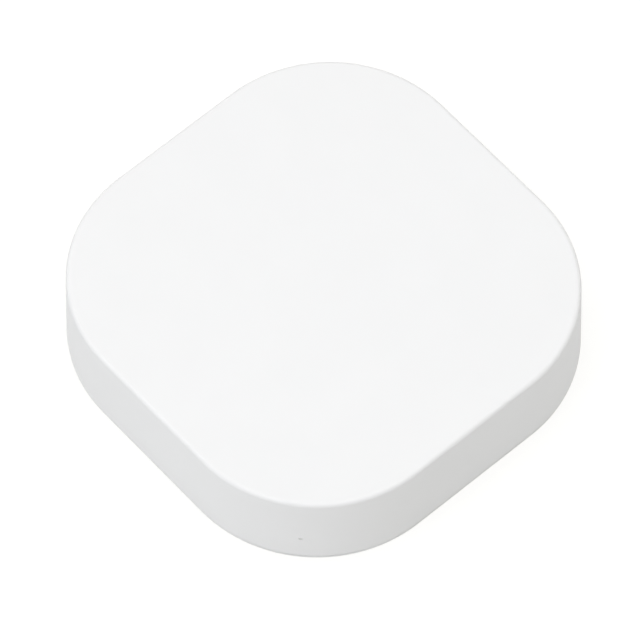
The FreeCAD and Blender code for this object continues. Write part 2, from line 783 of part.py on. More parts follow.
def ethernet_jack():
    x0, x1 = jack_x - jack_width / 2, jack_x + jack_width / 2
    z0 = z_board_top
    body = panel(x0, x1, z0 + touch, z0 + jack_height, socket_face - jack_depth, socket_face, 0.4)
    floor = socket_face - jack_cavity_depth
    low = z0 + jack_cavity_floor
    half, latch_half = jack_cavity_width / 2, jack_latch_width / 2
    cuts = [
        box(jack_x - half, jack_x + half, floor, side, low, low + jack_cavity_height),
        box(jack_x - latch_half, jack_x + latch_half, floor, side, low - jack_latch_drop, low + 1.0),
    ]
    for s in (-1, 1):
        cuts.append(jack_lamp(s, 0.05, 3.0))
    return body.cut(cuts)


def jack_lamp(side_sign, grow, out):
    """One of the two link lamps in the jack's upper corners."""
    x = jack_x + side_sign * (jack_width / 2 - jack_lamp_width / 2 - 0.8)
    z = z_board_top + jack_height - jack_lamp_height / 2 - 0.35
    w, h = jack_lamp_width / 2 + grow, jack_lamp_height / 2 + grow
    return box(x - w, x + w, socket_face - 1.5 - grow, socket_face - 0.1 + out, z - h, z + h)


def jack_lamps():
    return Part.makeCompound([jack_lamp(s, 0.0, 0.0) for s in (-1, 1)])


def jack_contacts():
    """Row of sprung contacts that slope down from the jack's ceiling."""
    top = z_board_top + jack_cavity_floor + jack_cavity_height
    rise, run, thick = 2.6, 7.0, 0.3
    y = socket_face - 3.0
    contacts = []
    for i in range(contact_count):
        x = jack_x + (i - (contact_count - 1) / 2) * contact_pitch - contact_width / 2
        outline = [V(x, y, top - touch), V(x, y - run, top - rise), V(x, y - run, top - rise - thick),
                   V(x, y, top - touch - thick)]
        contacts.append(prism(outline, V(contact_width, 0, 0)))
    return Part.makeCompound(contacts)


# ---- SIM tray -------------------------------------------------------------------------------------
def sim_cage():
    """Folded sheet cage under the main board."""
    half = sim_tray_width / 2 + sim_gap + sim_cage_sheet
    y1 = socket_face - 6.0
    y0 = socket_face - sim_tray_reach - 2.0
    cage = box(sim_x - half, sim_x + half, y0, y1, z_board - sim_cage_height, z_board - touch)
    room = half - sim_cage_sheet
    z_half = sim_tray_thickness / 2 + sim_gap
    cage = cage.cut(box(sim_x - room, sim_x + room, y0 + 0.8, y1 + 1.0, z_sim - z_half, z_sim + z_half))
    window = box(sim_x - 0.5 * room, sim_x + 0.5 * room, y0 + 4.0, y1 - 4.0, z_base_top, z_sim)
    return cage.cut(window)


def sim_tray():
    y1 = socket_face + 0.2
    face = panel(sim_x - sim_face_width / 2, sim_x + sim_face_width / 2, z_sim - sim_face_height / 2,
                 z_sim + sim_face_height / 2, y1 - sim_face_depth, y1, 1.0)
    y0 = socket_face - sim_tray_reach
    shank = box(sim_x - sim_tray_width / 2, sim_x + sim_tray_width / 2, y0, y1 - sim_face_depth + 0.5,
                z_sim - sim_tray_thickness / 2, z_sim + sim_tray_thickness / 2)
    tray = join(face, [shank])
    dimple_x = sim_x + 0.38 * sim_face_width
    dimple = rod(V(dimple_x, y1 - 0.9, z_sim), V(dimple_x, y1 + 1.0, z_sim), 0.5)
    return tray.cut([sim_pocket(sim_gap / 2, 1.0), dimple])


def sim_pocket(grow, above):
    y0 = socket_face - sim_tray_reach + 0.8
    z1 = z_sim + sim_tray_thickness / 2
    return box(sim_x - sim_card_width / 2 - grow, sim_x + sim_card_width / 2 + grow, y0 - grow,
               y0 + sim_card_length + grow, z1 - sim_card_thickness, z1 + above)


def sim_card():
    card = sim_pocket(0.0, 0.0).translate(V(0, 0, touch / 2))
    corner = V(sim_x + sim_card_width / 2, socket_face - sim_tray_reach + 0.8, z_sim - 1.0)
    cut = prism([corner, corner + V(-2.5, 0, 0), corner + V(0, 2.5, 0)], V(0, 0, 3.0))
    return card.cut(cut)


# ---- Power button ---------------------------------------------------------------------------------
def button_lines():
    """Along Y: the button's outer face, its collar's back and the end of its stem."""
    outer = reach(sim_x, z_button, plate_recess) + button_proud
    collar_front = reach(sim_x + button_radius, z_button, flange_inset + flange_wall) - 0.4
    collar_back = collar_front - button_collar_depth
    return outer, collar_front, collar_back, collar_back - button_stem_length


def power_button():
    outer, collar_front, collar_back, stem_end = button_lines()
    cap = rod(V(sim_x, collar_front - 0.1, z_button), V(sim_x, outer, z_button), button_radius)
    cap = cap.makeFillet(0.4, [e for e in cap.Edges if abs(e.CenterOfMass.y - outer) < 1e-6 and e.Closed])
    dish = Part.makeSphere(26.0, V(sim_x, outer + 26.0 - 0.18, z_button))
    cap = cap.cut(dish)
    collar_radius = button_radius + button_collar
    collar = rod(V(sim_x, collar_back, z_button), V(sim_x, collar_front, z_button), collar_radius)
    stem = rod(V(sim_x, stem_end, z_button), V(sim_x, collar_back + 0.1, z_button), button_stem_radius)
    return join(cap, [collar, stem])


def power_switch():
    _, _, _, stem_end = button_lines()
    front = stem_end - touch - switch_plunger_out
    body = box(sim_x - switch_width / 2, sim_x + switch_width / 2, front - switch_depth, front,
               z_board_top + touch, z_board_top + switch_height + touch)
    bore = rod(V(sim_x, front - 2.2, z_button), V(sim_x, front + 1.0, z_button), switch_plunger_radius + 0.1)
    return body.cut(bore)


def switch_plunger():
    _, _, _, stem_end = button_lines()
    end = stem_end - touch
    start = end - switch_plunger_out - 1.4
    return rod(V(sim_x, start, z_button), V(sim_x, end, z_button), switch_plunger_radius)


# ---- Tamper switch --------------------------------------------------------------------------------
def tamper_levels():
    """The plunger's tip, its collar's underside and its top end."""
    tip = z_bracket_top + touch
    collar = z_base_top + tamper_drop_per_mm * bracket_travel + 0.1
    top = z_board - tamper_switch_height - touch
    return tip, collar, top


def tamper_plunger():
    tip, collar, top = tamper_levels()
    r = tamper_rod_radius
    ball = Part.makeSphere(r, V(tamper_x, tamper_y, tip + r))
    shaft = disc(tamper_x, tamper_y, tip + r, collar + tamper_collar_height, r)
    ring = disc(tamper_x, tamper_y, collar, collar + tamper_collar_height, tamper_collar_radius)
    stem = disc(tamper_x, tamper_y, collar, top, tamper_stem_radius)
    return join(ball, [shaft, ring, stem])


def tamper_spring():
    """Coil spring between the plunger's collar and the switch."""
    _, collar, top = tamper_levels()
    z0 = collar + tamper_collar_height + spring_wire / 2 + touch
    z1 = top - spring_wire / 2
    mean = tamper_collar_radius - spring_wire / 2 - 0.1
    helix = Part.makeHelix((z1 - z0) / spring_turns, z1 - z0, mean)
    section = Part.Wire([Part.makeCircle(spring_wire / 2, V(mean, 0, 0), V(0, 1, 0))])
    coil = Part.Wire(helix.Edges).makePipeShell([section], True, True)
    return coil.translate(V(tamper_x, tamper_y, z0))


def tamper_switch():
    s = tamper_switch_side
    return block(tamper_x, tamper_y, z_board - tamper_switch_height, (s, s, tamper_switch_height - touch))


# ---- Status light ---------------------------------------------------------------------------------
def light_line():
    """Distances from the corner's centre to the lamp's front and the pipe's outer end."""
    lamp_front = radius_at(z_light, board_inset) - 1.6
    pipe_end = radius_at(z_light) - light_recess
    return lamp_front, pipe_end


def along_corner(shape):
    """Turns a shape made along +X from the origin onto the status light's line."""
    shape.rotate(V(), UP, -light_bearing)
    return shape.translate(V(corner_centre, -corner_centre, 0))


def status_lamp():
    lamp_front, _ = light_line()
    return along_corner(box(lamp_front - lamp_depth, lamp_front, -lamp_width / 2, lamp_width / 2,
                            z_board_top + touch, z_board_top + lamp_height))


def light_pipe():
    lamp_front, pipe_end = light_line()
    inner = radius_at(z_light + light_collar_radius, wall) - 0.15
    pipe = rod(V(lamp_front + 0.2, 0, z_light), V(pipe_end, 0, z_light), light_pipe_radius)
    collar = rod(V(inner - light_collar_depth, 0, z_light), V(inner, 0, z_light), light_collar_radius)
    return along_corner(join(pipe, [collar]))


# ---- Antennas -------------------------------------------------------------------------------------
def antenna(sign):
    """Printed antenna on a thin board, in the shell's rails beside a side wall."""
    x1 = antenna_wall() - 2 * antenna_gap
    x0 = x1 - antenna_thickness
    half = antenna_length / 2
    board = box(x0, x1, -half, half, z_antenna, z_antenna + antenna_height)
    tab = box(x0, x1, -3.0, 3.0, z_antenna - antenna_tab_height, z_antenna)
    board = join(board, [tab])
    return board if sign > 0 else board.mirror(V(), V(1, 0, 0))


def coax_routes():
    """Centre lines of the two antenna leads, from the main board's plugs to the antennas' lower tabs."""
    x = antenna_wall() - 2 * antenna_gap - antenna_thickness - touch - coax_radius
    z = z_antenna - antenna_tab_height / 2
    low = z_board_top + 2.0
    y = supply_front - 1.6
    start = split_x + board_gap / 2 + 3.0
    left = [V(start, y, low), V(-x + 12.0, y, low), V(-x, y, z), V(-x, y - 9.0, z)]
    y = right_lead_y
    right = [V(x - 22.0, y, low), V(x - 9.0, y, low), V(x, y, z), V(x, 0.0, z)]
    return left, right


def antenna_leads():
    return Part.makeCompound([tube_along(route, coax_radius, coax_bend) for route in coax_routes()])


def antenna_plugs():
    """Small snap-on plugs at the main board's end of each lead."""
    plugs = []
    for route in coax_routes():
        start, way = route[0], (route[1] - route[0]).normalize()
        centre = start - way * 1.3
        plugs.append(disc(centre.x, centre.y, z_board_top + touch, centre.z + 0.7, 1.25))
    return Part.makeCompound(plugs)


# ---- Main board -----------------------------------------------------------------------------------
def half_board(x0, x1, y0, y1):
    """Board that follows the case's outline inside a rectangle, notched round the bosses."""
    outline = upright_block(z_board, z_board_top, z_board_top, board_inset)
    board = outline.common(box(x0, x1, y0, y1, z_board - 1.0, z_board_top + 1.0))
    return board.cut(boss_notches(z_board - 1.0, z_board_top + 1.0))


def screw_holes(places, z0, z1):
    return [disc(x, y, z0, z1, board_screw_radius + nest_gap) for x, y in places]


def main_board():
    board = half_board(split_x + board_gap / 2, side, -side, side)
    return board.cut(screw_holes(main_board_places(), z_board - 1.0, z_board_top + 1.0))


def main_spot(u, v):
    """Place on the main board as shares of its half-width."""
    return u * supply_half, v * supply_half


def processor():
    x, y = main_spot(0.36, 0.12)
    return block(x, y, z_board_top + touch, (processor_side, processor_side, processor_height))


def thermal_pad():
    x, y = main_spot(0.36, 0.12)
    z = z_board_top + processor_height + 2 * touch
    return block(x, y, z, (processor_side - 1.0, processor_side - 1.0, pad_thickness))


def heat_sink():
    x, y = main_spot(0.36, 0.12)
    z = z_board_top + processor_height + pad_thickness + 3 * touch
    sink = block(x, y, z, (sink_side, sink_side, sink_height))
    pitch = (sink_side - sink_fin) / (sink_fins - 1)
    gaps = []
    for i in range(sink_fins - 1):
        x0 = x - sink_side / 2 + i * pitch + sink_fin
        gaps.append(box(x0, x0 + pitch - sink_fin, y - sink_side, y + sink_side, z + sink_base,
                        z + sink_height + 1.0))
    return sink.cut(gaps)


def memory_chips():
    chips = []
    for u, v in ((0.07, 0.12), (0.36, -0.2)):
        x, y = main_spot(u, v)
        chips.append(block(x, y, z_board_top + touch, memory_size))
    return Part.makeCompound(chips)


def can(x, y, size, sheet=0.2, pillow=0.35):
    """Tinned screening can with a shallow raised middle."""
    w, d, h = size
    outer = block(x, y, z_board_top + touch, (w, d, h - pillow))
    inner = block(x, y, z_board_top - 1.0, (w - 2 * sheet, d - 2 * sheet, h - pillow - sheet + 1.0))
    raised = block(x, y, z_board_top + h - pillow, (w - 3.0, d - 3.0, pillow))
    return join(outer.cut(inner), [raised])


def cellular_module():
    x, y = main_spot(0.74, 0.0)
    return can(x, y, cellular_size)


def wifi_module():
    x, y = main_spot(0.72, -0.38)
    return can(x, y, wifi_size)


def radio_module():
    x, y = main_spot(0.2, -0.62)
    return can(x, y, radio_size)


def battery_socket():
    """Header on the main board that the battery's lead plugs into, with its mouth towards the battery."""
    x = split_x + board_gap / 2 + battery_socket_size[0] / 2 + 0.6
    body = block(x, lead_y, z_board_top + touch, battery_socket_size)
    w, d, h = battery_socket_size
    return body.cut(box(x - w, x + w / 2 - 1.2, lead_y - d / 2 + 0.8, lead_y + d / 2 - 0.8,
                        z_board_top + 1.0, z_board_top + h - 0.8))


def small_parts():
    """Capacitors, coils and crystals spread over the main board."""
    spots = []
    for i in range(6):
        spots.append((0.12 + 0.03 * i, -0.06, (1.2, 2.0, 0.9)))
        spots.append((0.62, 0.2 + 0.045 * i, (2.0, 1.2, 0.8)))
        spots.append((0.36 + 0.035 * i, -0.42, (1.2, 2.0, 0.8)))
    for v in (0.36, 0.46):
        spots.append((0.16, v, (6.0, 6.0, 3.0)))
    spots += [(0.66, 0.52, (5.0, 3.2, 1.0)), (0.5, -0.56, (3.2, 2.5, 0.9)), (0.3, 0.47, (8.0, 5.0, 1.6)),
              (0.47, 0.5, (4.0, 4.0, 1.2))]
    parts = []
    for u, v, size in spots:
        x, y = main_spot(u, v)
        parts.append(block(x, y, z_board_top + touch, size))
    return Part.makeCompound(parts)


# ---- Power board ----------------------------------------------------------------------------------
def supply_spot(u, v):
    """Place on the power board as shares of its width and depth, from its inner front corner."""
    return split_x - board_gap / 2 - u * supply_width, supply_front + v * supply_depth


def power_board():
    board = half_board(-side, split_x - board_gap / 2, supply_front, side)
    return board.cut(screw_holes(power_board_places(), z_board - 1.0, z_board_top + 1.0))


def transformer_height():
    return z_roof - headroom - z_board_top


def transformer_core():
    """Two E-shaped ferrites round the winding."""
    x, y = supply_spot(0.5, 0.2)
    w, d = transformer_size
    h = transformer_height()
    z0 = z_board_top + 2.0
    core = block(x, y, z0, (w, 0.55 * d, h - 2.0))
    window = block(x, y, z0 + 0.2 * (h - 2.0), (0.72 * w, d, 0.6 * (h - 2.0)))
    leg = rod(V(x, y - 0.275 * d, z0 + 0.5 * (h - 2.0)), V(x, y + 0.275 * d, z0 + 0.5 * (h - 2.0)), 0.13 * w)
    return join(core.cut(window), [leg])


def transformer_winding():
    """Bobbin and taped winding round the core's middle leg."""
    x, y = supply_spot(0.5, 0.2)
    w, d = transformer_size
    h = transformer_height()
    z_mid = z_board_top + 2.0 + 0.5 * (h - 2.0)
    outer = min(0.33 * w, 0.28 * (h - 2.0))
    coil = rod(V(x, y - 0.5 * d, z_mid), V(x, y + 0.5 * d, z_mid), outer)
    coil = coil.cut(rod(V(x, y - d, z_mid), V(x, y + d, z_mid), 0.13 * w + touch))
    foot_size = (0.84 * w, 0.16 * d, z_mid - 0.6 * outer - z_board_top - touch)
    feet = [block(x, y + s * 0.42 * d, z_board_top + touch, foot_size) for s in (-1, 1)]
    return join(coil, feet)


def bulk_places():
    """Axes of the two reservoir capacitors, which lie along Y."""
    _, y = supply_spot(0.0, 0.5)
    outer = -(reach(y + bulk_length / 2, z_board_top, board_inset) - bulk_radius - 0.8)
    return [(outer, y), (outer + bulk_pitch, y)]


def bulk_capacitors():
    caps = []
    for x, y in bulk_places():
        z = z_board_top + bulk_radius + touch
        y0 = y - bulk_length / 2
        cap = rod(V(x, y0, z), V(x, y0 + bulk_length, z), bulk_radius)
        cap = cap.makeFillet(0.5, [e for e in cap.Edges if e.Closed])
        groove = rod(V(x, y0 + 1.6, z), V(x, y0 + 2.4, z), bulk_radius + 1.0)
        groove = groove.cut(rod(V(x, y0, z), V(x, y0 + bulk_length, z), bulk_radius - 0.4))
        caps.append(cap.cut(groove))
    return Part.makeCompound(caps)


def output_capacitors():
    caps = []
    for v in (0.21, 0.38):
        x, y = supply_spot(0.14, v)
        cap = disc(x, y, z_board_top + touch, z_board_top + output_height, output_radius)
        cap = cap.makeFillet(0.5, edges_at(cap, z_board_top + output_height))
        for turn in (0, 90):
            score = box(-output_radius, output_radius, -0.15, 0.15, z_board_top + output_height - 0.2,
                        z_board_top + output_height + 1.0)
            score.rotate(V(), UP, turn)
            cap = cap.cut(score.translate(V(x, y, 0)))
        caps.append(cap)
    return Part.makeCompound(caps)


def mains_choke():
    """Two windings on a square core, behind the inlet."""
    w, d, h = choke_size
    y = inlet_back - 4.5 - d / 2
    z = z_board_top + touch
    core = block(inlet_x, y, z, (w, 0.4 * d, h)).cut(block(inlet_x, y, z + 3.0, (w - 6.0, d, h - 6.0)))
    coils = [block(inlet_x + s * (w / 2 - 3.0), y, z + 2.6, (5.6, d, h - 5.2)) for s in (-1, 1)]
    base = block(inlet_x, y, z, (w, d, 1.6))
    return join(base, [core] + coils)


def mains_fuse():
    """Glass fuse in two end clips, beside the inlet."""
    x = inlet_x - inlet_width / 2 - fuse_radius - 2.0
    y1 = socket_face - 8.0
    y0 = y1 - fuse_length
    z = z_board_top + fuse_radius + 1.2
    glass = rod(V(x, y0, z), V(x, y1, z), fuse_radius - 0.15)
    caps = [rod(V(x, a, z), V(x, a + 4.0, z), fuse_radius) for a in (y0, y1 - 4.0)]
    feet = [box(x - fuse_radius, x + fuse_radius, a, a + 2.0, z_board_top + touch, z)
            for a in (y0 + 1.0, y1 - 3.0)]
    return join(glass, caps + feet)


def line_capacitor():
    x, y = supply_spot(0.86, 0.17)
    body = block(x, y, z_board_top + touch, line_cap_size)
    return body.makeFillet(0.6, body.Edges)


def board_link():
    """Pin header that carries the low voltage from the power board to the main board."""
    body = block(split_x, link_y, z_board_top + touch, link_size)
    notch = block(split_x, link_y, z_board_top - 1.0, (board_gap + 1.0, link_size[1] + 1.0, 2.2))
    return body.cut(notch)


def insulation_barrier():
    """Clear sheet that stands between the mains parts and the main board."""
    y0 = link_y + link_size[1] / 2 + 1.0
    y1 = inlet_back + 8.0
    t = barrier_thickness / 2
    return box(split_x - t, split_x + t, y0, y1, z_base_top + touch, z_board_top + 11.0)


# ---- Battery --------------------------------------------------------------------------------------
def battery_box(grow=0.0):
    """Plan of the battery pack: x0, x1, y0, y1."""
    outer = min(reach(battery_front - 1.0, z_board_top, board_inset + 2.5), -tray_screw_x - post_radius - 1.0)
    end = split_x - board_gap / 2 - battery_end_gap
    return -outer - grow, end + grow, battery_front - grow, battery_back + grow


def battery_tray():
    """Shelf for the battery, level with the boards, with a low lip round the pack."""
    low, high, r = z_board - 1.0, z_board + tray_lip, rib_width
    outline = upright_block(z_board + touch, z_board + tray_thickness, z_board_top, board_inset)
    shelf = outline.common(box(-side, split_x - board_gap / 2, -side, supply_front - 5.0, low, high))
    shelf = shelf.cut(boss_notches(low, high))
    shelf = shelf.cut(screw_holes(tray_places(), low, high))
    x0, x1, y0, y1 = battery_box(nest_gap)
    lip = slab(x0 - r, x1 + r, y0 - r, y1 + r, z_board + 0.5, high, 3.0)
    lip = lip.cut(slab(x0, x1, y0, y1, z_board, high + 1.0, 2.0))
    lip = lip.cut(box(x1 - 1.0, x1 + 3.0, lead_y - 4.0, lead_y + 4.0, z_board + tray_thickness, high + 1.0))
    pitch = (x1 - x0 - 8.0) / 2
    windows = [slab(x0 + 6.0 + i * pitch, x0 + 2.0 + (i + 1) * pitch, y0 + 6.0, y1 - 6.0, low,
                    z_board + tray_thickness + 0.1, 3.0) for i in range(2)]
    return join(shelf, [lip]).cut(windows)


def battery_pack():
    x0, x1, y0, y1 = battery_box()
    z0 = z_board + tray_thickness + touch
    pack = slab(x0, x1, y0, y1, z0, z0 + battery_thickness, 2.0)
    return pack.makeFillet(1.0, edges_at(pack, z0) + edges_at(pack, z0 + battery_thickness))


def battery_strap():
    """Adhesive strap over the battery that keeps it on its tray."""
    x0, x1, y0, y1 = battery_box()
    x = x0 + 0.35 * (x1 - x0)
    z0 = z_board + tray_thickness
    z1 = z0 + battery_thickness + 2 * touch
    t, half = 0.4, 5.0
    lip_top = z_board + tray_lip
    over = box(x - half, x + half, y0 - t - nest_gap, y1 + t + nest_gap, lip_top + 0.1, z1 + t)
    return over.cut(box(x - half - 1.0, x + half + 1.0, y0 - 0.1, y1 + 0.1, z0, z1))


def battery_leads():
    """Two leads from the battery's end to its socket."""
    _, x1, _, _ = battery_box()
    socket_x = split_x + board_gap / 2 + 0.6
    z = z_board_top + battery_socket_size[2] / 2
    leads = []
    for s in (-1, 1):
        y = lead_y + s * 1.1
        leads.append(rod(V(x1 + touch, y, z), V(socket_x + 1.6, y, z), lead_radius))
    return Part.makeCompound(leads)


NODES = {
    "top_shell": top_shell,
    "base_cover": base_cover,
    "mounting_bracket": mounting_bracket,
    "rubber_feet": rubber_feet,
    "case_screws": case_screws,
    "board_screws": board_screws,
    "rating_label": rating_label,
    "rear_port_plate": rear_port_plate,
    "mains_inlet": mains_inlet,
    "inlet_pins": inlet_pins,
    "ethernet_jack": ethernet_jack,
    "jack_contacts": jack_contacts,
    "jack_lamps": jack_lamps,
    "sim_cage": sim_cage,
    "sim_tray": sim_tray,
    "sim_card": sim_card,
    "power_button": power_button,
    "power_switch": power_switch,
    "switch_plunger": switch_plunger,
    "tamper_plunger": tamper_plunger,
    "tamper_spring": tamper_spring,
    "tamper_switch": tamper_switch,
    "status_lamp": status_lamp,
    "light_pipe": light_pipe,
    "antenna_left": lambda: antenna(-1),
    "antenna_right": lambda: antenna(1),
    "antenna_leads": antenna_leads,
    "antenna_plugs": antenna_plugs,
    "main_board": main_board,
    "processor": processor,
    "thermal_pad": thermal_pad,
    "heat_sink": heat_sink,
    "memory_chips": memory_chips,
    "cellular_module": cellular_module,
    "wifi_module": wifi_module,
    "radio_module": radio_module,
    "battery_socket": battery_socket,
    "small_parts": small_parts,
    "power_board": power_board,
    "transformer_core": transformer_core,
    "transformer_winding": transformer_winding,
    "bulk_capacitors": bulk_capacitors,
    "output_capacitors": output_capacitors,
    "mains_choke": mains_choke,
    "mains_fuse": mains_fuse,
    "line_capacitor": line_capacitor,
    "board_link": board_link,
    "insulation_barrier": insulation_barrier,
    "battery_tray": battery_tray,
    "battery_pack": battery_pack,
    "battery_strap": battery_strap,
    "battery_leads": battery_leads,
}

os.makedirs("parts", exist_ok=True)
for name, make in NODES.items():
    shape = make()
    if not shape.isValid() or not shape.Solids:
        raise RuntimeError(f"{name} is not a valid solid")
    shape.exportStep(f"parts/{name}.step")
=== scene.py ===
"""Looks for a low, rounded-square smart home hub: plastics, sockets, boards and battery, on a pale table."""

import math

import bpy
from mathutils import Matrix, Vector


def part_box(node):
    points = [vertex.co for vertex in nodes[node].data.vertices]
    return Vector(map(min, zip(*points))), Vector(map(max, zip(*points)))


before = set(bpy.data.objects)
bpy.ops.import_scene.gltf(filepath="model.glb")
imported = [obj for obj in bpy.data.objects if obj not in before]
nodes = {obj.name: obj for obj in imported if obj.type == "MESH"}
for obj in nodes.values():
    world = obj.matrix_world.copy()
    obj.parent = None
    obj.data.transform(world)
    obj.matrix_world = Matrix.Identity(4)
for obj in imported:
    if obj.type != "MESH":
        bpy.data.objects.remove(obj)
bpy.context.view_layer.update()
scene = bpy.context.scene
bpy.ops.object.select_all(action="DESELECT")

MM = 0.001
WHITE = (1.0, 1.0, 1.0)

# ---- Camera ---------------------------------------------------------------------------------------
CAMERA_AZIMUTH = 48.696
CAMERA_ELEVATION = 60.142
CAMERA_ROLL = -0.1
CAMERA_PLACE = (0.95789, -0.84333, 2.23117)
CAMERA_LENS = 401.53  # mm, on a sensor of the width below
SENSOR_WIDTH = 36.0
NEAREST, FARTHEST = 0.05, 50.0

# ---- Light; angles in degrees, lengths in metres -------------------------------------------------
OVERHEAD_STRENGTH = 3.36
OVERHEAD_SPREAD = 90.0
ROOM_SHADE = 0.03
HORIZON_SHADE = 1.0
HORIZON_TOP = 3.0
ROOM_START = 5.0
WINDOW_AZIMUTH = -4.0
WINDOW_ELEVATION = 25.0
WINDOW_DISTANCE = 2.0
WINDOW_SIZE = 1.0
WINDOW_POWER = 8.2
WINDOW_TINT = (0.89, 0.926, 1.0)
TABLE_SIZE = 12.0
TABLE_SHADE = 0.3
TABLE_GLOW = 0.7
TABLE_TINT = (1.0, 0.998, 0.975)
TABLE_ROUGHNESS = 0.6
TABLE_REFLECTION = 0.2


# ---- Stage ----------------------------------------------------------------------------------------
def direction(azimuth, elevation):
    """Unit vector from the object; azimuth 0 is the front (-Y), 90 is the right side (+X)."""
    a, e = math.radians(azimuth), math.radians(elevation)
    return Vector((math.sin(a) * math.cos(e), -math.cos(a) * math.cos(e), math.sin(e)))


def put_in_scene(name, data):
    thing = bpy.data.objects.new(name, data)
    scene.collection.objects.link(thing)
    return thing


def make_camera():
    back = direction(CAMERA_AZIMUTH, CAMERA_ELEVATION)
    level = (-back).cross(Vector((0, 0, 1))).normalized()
    upright = back.cross(level)
    roll = math.radians(CAMERA_ROLL)
    right = level * math.cos(roll) + upright * math.sin(roll)
    up = upright * math.cos(roll) - level * math.sin(roll)
    data = bpy.data.cameras.new("camera")
    data.lens = CAMERA_LENS
    data.sensor_width = SENSOR_WIDTH
    data.clip_start, data.clip_end = NEAREST, FARTHEST
    camera = put_in_scene("camera", data)
    camera.matrix_world = Matrix.Translation(CAMERA_PLACE) @ Matrix((right, up, back)).transposed().to_4x4()
    scene.camera = camera


def make_lights():
    scene.view_settings.view_transform = "Standard"
    overhead = bpy.data.lights.new("overhead_soft", "SUN")
    overhead.energy = OVERHEAD_STRENGTH
    overhead.angle = math.radians(OVERHEAD_SPREAD)
    put_in_scene("overhead_soft", overhead)
    window = bpy.data.lights.new("front_soft", "AREA")
    window.shape = "SQUARE"
    window.size = WINDOW_SIZE
    window.energy = WINDOW_POWER
    window.color = WINDOW_TINT
    lamp = put_in_scene("front_soft", window)
    towards = direction(WINDOW_AZIMUTH, WINDOW_ELEVATION)
    lamp.location = towards * WINDOW_DISTANCE
    lamp.rotation_euler = towards.to_track_quat("Z", "Y").to_euler()
    make_surround()


def make_surround():
    """Dim room with a white sweep round the horizon, where the table top ends."""
    world = bpy.data.worlds.new("studio")
    world.use_nodes = True
    tree = world.node_tree
    height = split_axes(tree, tree.nodes.new("ShaderNodeTexCoord").outputs["Generated"])[2]
    sweep_top, room = (math.sin(math.radians(angle)) for angle in (HORIZON_TOP, ROOM_START))
    glow = spread(tree, height, sweep_top, room, HORIZON_SHADE, ROOM_SHADE)
    tree.links.new(glow, tree.nodes["Background"].inputs["Strength"])
    tree.nodes["Background"].inputs["Color"].default_value = (*WHITE, 1.0)
    scene.world = world


def make_table():
    bpy.ops.mesh.primitive_plane_add(size=TABLE_SIZE, location=(0, 0, 0))
    table = bpy.context.object
    table.name = "table_top"
    settings = {"Specular IOR Level": TABLE_REFLECTION, "Emission Color": (*TABLE_TINT, 1.0),
                "Emission Strength": TABLE_GLOW}
    table.data.materials.append(plain("table_white", (TABLE_SHADE,) * 3, TABLE_ROUGHNESS, settings)[0])


# ---- Pattern pieces that the finishes are made of -------------------------------------------------
WAVE_ANGLE = 20.0  # radians that the wave node turns through over one unit at scale 1
NOISE_LOW, NOISE_HIGH = 0.3, 0.7  # what nearly all of a noise pattern lies between


def plain(name, color, roughness, settings=None):
    """New material with its shader set; returns the material, its node tree and its shader."""
    material = bpy.data.materials.new(name)
    material.use_nodes = True
    tree = material.node_tree
    shader = tree.nodes["Principled BSDF"]
    shader.inputs["Base Color"].default_value = (*color, 1.0)
    shader.inputs["Roughness"].default_value = roughness
    for key, value in (settings or {}).items():
        shader.inputs[key].default_value = value
    return material, tree, shader


def add(tree, kind, settings=None, values=None):
    """New node, with its settings and its input values."""
    node = tree.nodes.new(kind)
    for key, value in (settings or {}).items():
        setattr(node, key, value)
    for key, value in (values or {}).items():
        node.inputs[key].default_value = value
    return node


def place(tree, centre=(0, 0, 0), turn=(0, 0, 0), stretch=(1, 1, 1)):
    """Object coordinates, measured from a centre, turned and stretched."""
    coords = tree.nodes.new("ShaderNodeTexCoord").outputs["Object"]
    shift = add(tree, "ShaderNodeMapping", {"vector_type": "POINT"}, {"Location": [-c for c in centre]})
    tree.links.new(coords, shift.inputs["Vector"])
    if turn == (0, 0, 0) and stretch == (1, 1, 1):
        return shift.outputs["Vector"]
    shape = add(tree, "ShaderNodeMapping", {"vector_type": "POINT"}, {"Rotation": turn, "Scale": stretch})
    tree.links.new(shift.outputs["Vector"], shape.inputs["Vector"])
    return shape.outputs["Vector"]


def grain(tree, vector, size, detail=2.0, distortion=0.0):
    """Soft noise whose lumps are about size wide, in metres."""
    values = {"Scale": 1.0 / size, "Detail": detail, "Distortion": distortion}
    node = add(tree, "ShaderNodeTexNoise", None, values)
    tree.links.new(vector, node.inputs["Vector"])
    return node.outputs["Fac"]


def cells(tree, vector, size, metric="EUCLIDEAN", output="Distance"):
    """Cell pattern with cells about size wide; distances come out as shares of the size."""
    node = add(tree, "ShaderNodeTexVoronoi", {"feature": "F1", "distance": metric},
               {"Scale": 1.0 / size, "Randomness": 1.0})
    tree.links.new(vector, node.inputs["Vector"])
    return node.outputs[output]


def bands(tree, vector, pitch, axis):
    """Stripes across one axis, pitch apart."""
    settings = {"wave_type": "BANDS", "bands_direction": axis, "wave_profile": "SIN"}
    values = {"Scale": 2.0 * math.pi / (WAVE_ANGLE * pitch), "Distortion": 0.0}
    node = add(tree, "ShaderNodeTexWave", settings, values)
    tree.links.new(vector, node.inputs["Vector"])
    return node.outputs["Fac"]


def math_node(tree, operation, a, b=None):
    """Arithmetic on one or two values; each is a number or another node's output."""
    node = add(tree, "ShaderNodeMath", {"operation": operation})
    for i, value in enumerate((a, b)):
        if value is None:
            continue
        if isinstance(value, (int, float)):
            node.inputs[i].default_value = value
        else:
            tree.links.new(value, node.inputs[i])
    return node.outputs[0]


def spread(tree, value, low, high, new_low=0.0, new_high=1.0):
    """Value between low and high, made to run from new_low to new_high, and held there."""
    node = add(tree, "ShaderNodeMapRange", None,
               {"From Min": low, "From Max": high, "To Min": new_low, "To Max": new_high})
    tree.links.new(value, node.inputs["Value"])
    return node.outputs["Result"]


